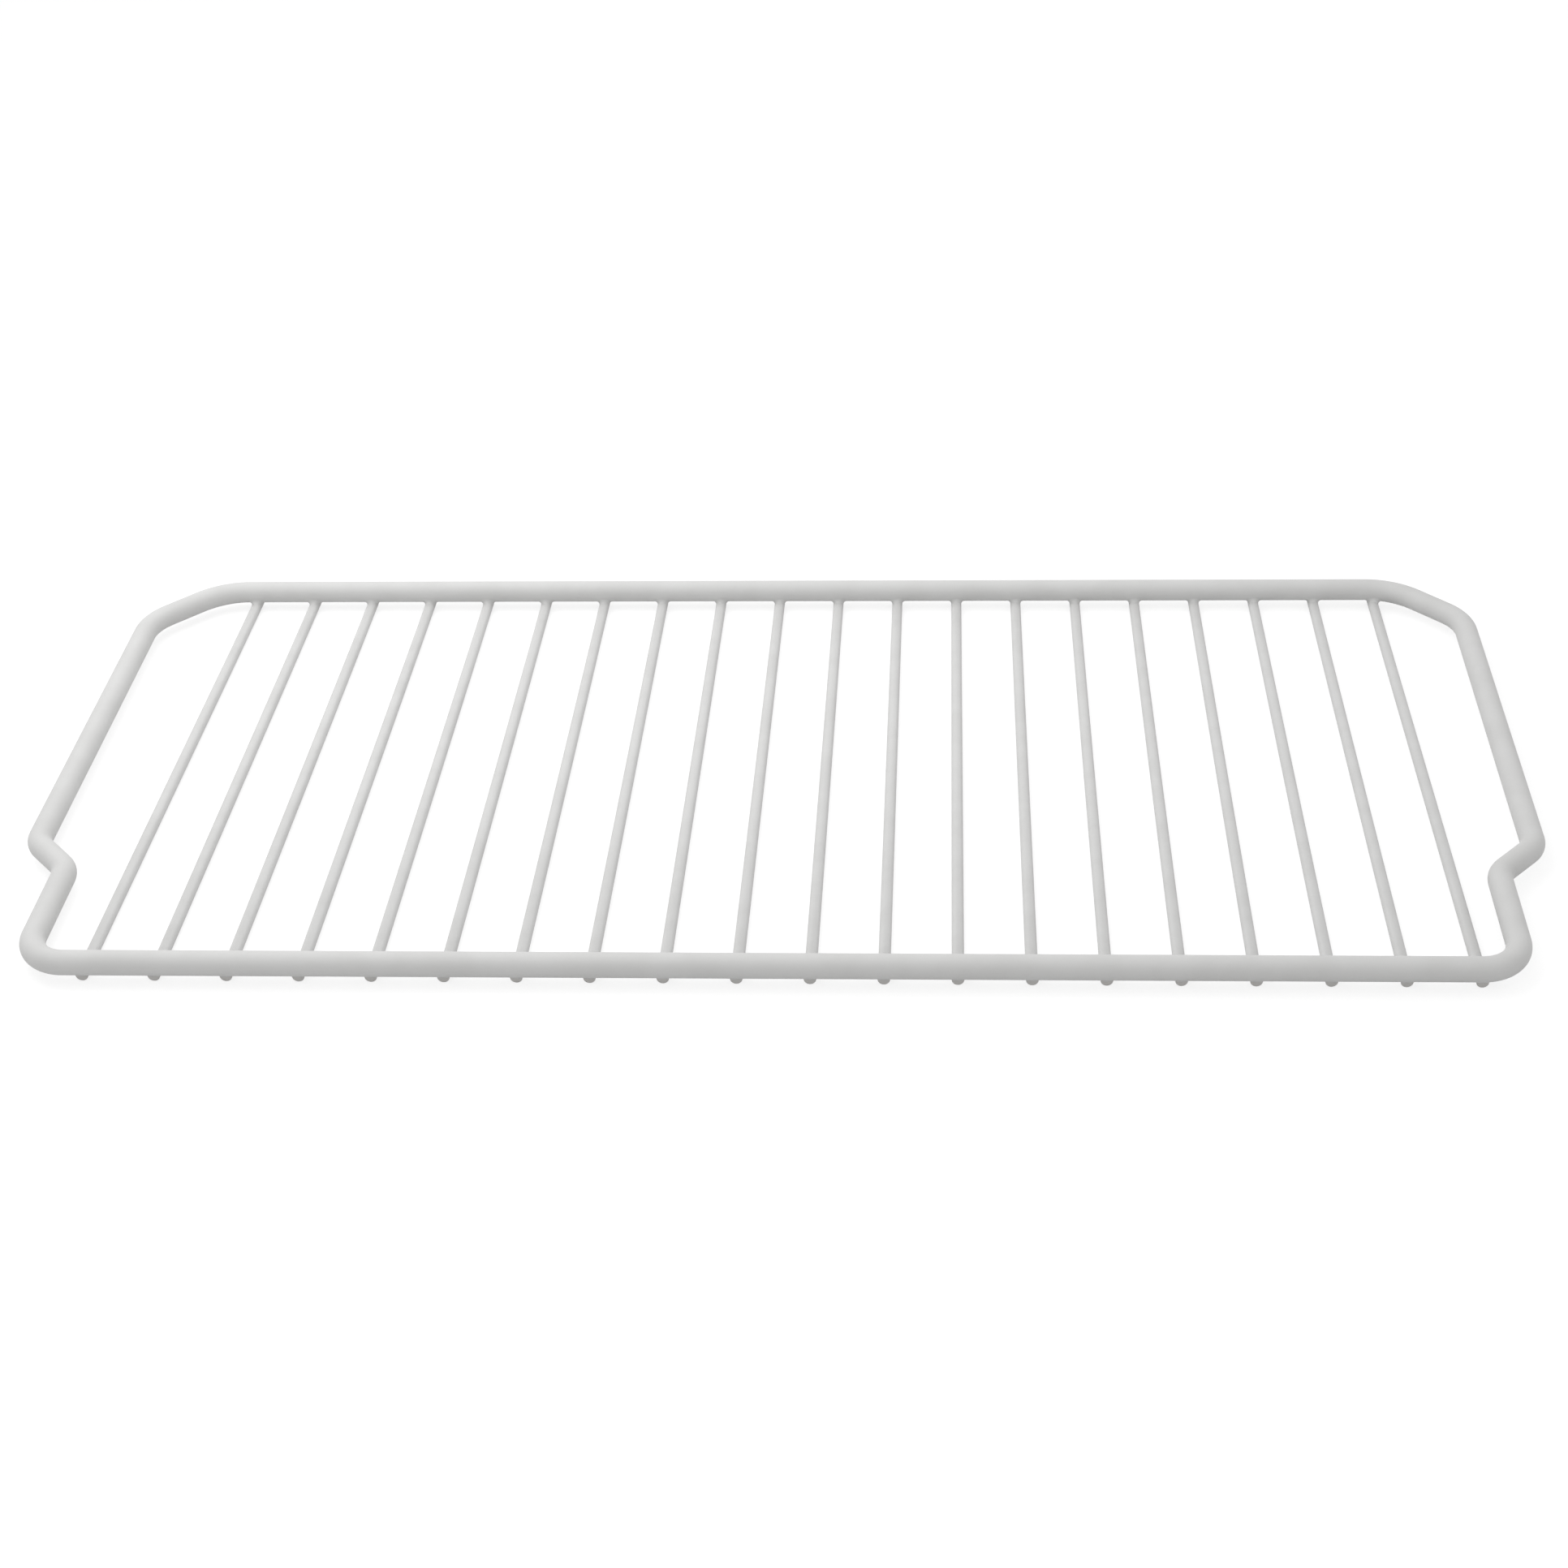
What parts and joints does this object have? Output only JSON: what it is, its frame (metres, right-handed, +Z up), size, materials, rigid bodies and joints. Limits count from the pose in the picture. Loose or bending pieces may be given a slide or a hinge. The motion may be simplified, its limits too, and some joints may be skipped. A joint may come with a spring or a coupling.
{
  "type": "wire rack",
  "caption": "Flat white coated wire shelf: a bent round-rod frame with stepped front shoulders and cut rear corners, and thin parallel wires welded under its rails to carry food.",
  "frame": {"origin": "middle of the rack's outline, at the level of the wires' undersides, on which it rests", "axes": "+X along the rails to the right, +Y from the front rail to the rear rail, +Z up"},
  "size_m": [0.4444, 0.203, 0.0092],
  "materials": {
    "white_coating": "satin"
  },
  "bodies": {
    "root": {"perimeter_frame": "white_coating", "cross_wire_01": "white_coating", "cross_wire_02": "white_coating", "cross_wire_03": "white_coating", "cross_wire_04": "white_coating", "cross_wire_05": "white_coating", "cross_wire_06": "white_coating", "cross_wire_07": "white_coating", "cross_wire_08": "white_coating", "cross_wire_09": "white_coating", "cross_wire_10": "white_coating", "cross_wire_11": "white_coating", "cross_wire_12": "white_coating", "cross_wire_13": "white_coating", "cross_wire_14": "white_coating", "cross_wire_15": "white_coating", "cross_wire_16": "white_coating", "cross_wire_17": "white_coating", "cross_wire_18": "white_coating", "cross_wire_19": "white_coating", "cross_wire_20": "white_coating"}
  },
  "joints": []
}
